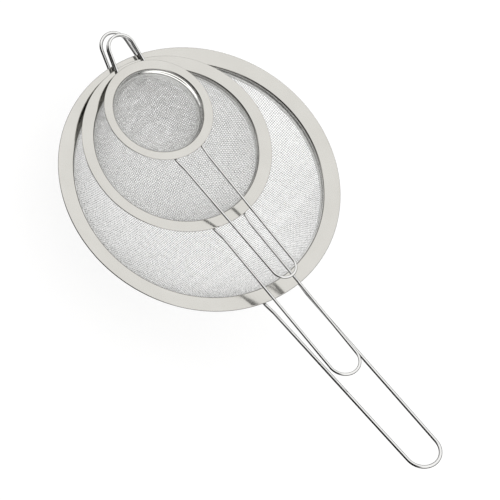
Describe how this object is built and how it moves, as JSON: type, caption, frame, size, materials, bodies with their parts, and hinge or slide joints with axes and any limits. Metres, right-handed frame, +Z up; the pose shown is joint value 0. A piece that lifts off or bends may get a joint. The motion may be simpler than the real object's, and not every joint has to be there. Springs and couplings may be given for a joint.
{
  "type": "nesting sieve set",
  "caption": "Round fine-mesh sieves nested one in the other, each a hemispherical woven wire bowl on a coned sheet rim with a long wire loop handle and a short wire rest hook.",
  "frame": {"origin": "centre of the large rim's outer edge circle, at the level of the edge's top", "axes": "+Z up along the bowls' axes, out of their mouths; +X from the large bowl towards the end of its handle; +Y completes a right-handed frame"},
  "size_m": [0.3743, 0.2, 0.1056],
  "materials": {
    "rim_sheet": "satin stamped stainless sheet",
    "clamp_strip": "bright rolled stainless strip",
    "woven_mesh": "woven fine stainless wire cloth",
    "bright_wire": "polished stainless wire",
    "weld_metal": "darkened spot weld"
  },
  "bodies": {
    "large_sieve": {"large_rim": "rim_sheet", "large_clamp_band": "clamp_strip", "large_mesh_bowl": "woven_mesh", "large_handle": "bright_wire", "large_handle_welds": "weld_metal", "large_rest_hook": "bright_wire", "large_hook_welds": "weld_metal"},
    "medium_sieve": {"medium_rim": "rim_sheet", "medium_clamp_band": "clamp_strip", "medium_mesh_bowl": "woven_mesh", "medium_handle": "bright_wire", "medium_handle_welds": "weld_metal", "medium_rest_hook": "bright_wire", "medium_hook_welds": "weld_metal"},
    "small_sieve": {"small_rim": "rim_sheet", "small_clamp_band": "clamp_strip", "small_mesh_bowl": "woven_mesh", "small_handle": "bright_wire", "small_handle_welds": "weld_metal", "small_rest_hook": "bright_wire", "small_hook_welds": "weld_metal"}
  },
  "joints": [
    {"name": "medium_lift", "type": "slide", "parent": "large_sieve", "child": "medium_sieve", "axis": [0, 0, 1], "range_m": [0, 0.06]},
    {"name": "small_lift", "type": "slide", "parent": "medium_sieve", "child": "small_sieve", "axis": [0, 0, 1], "range_m": [0, 0.04]}
  ]
}
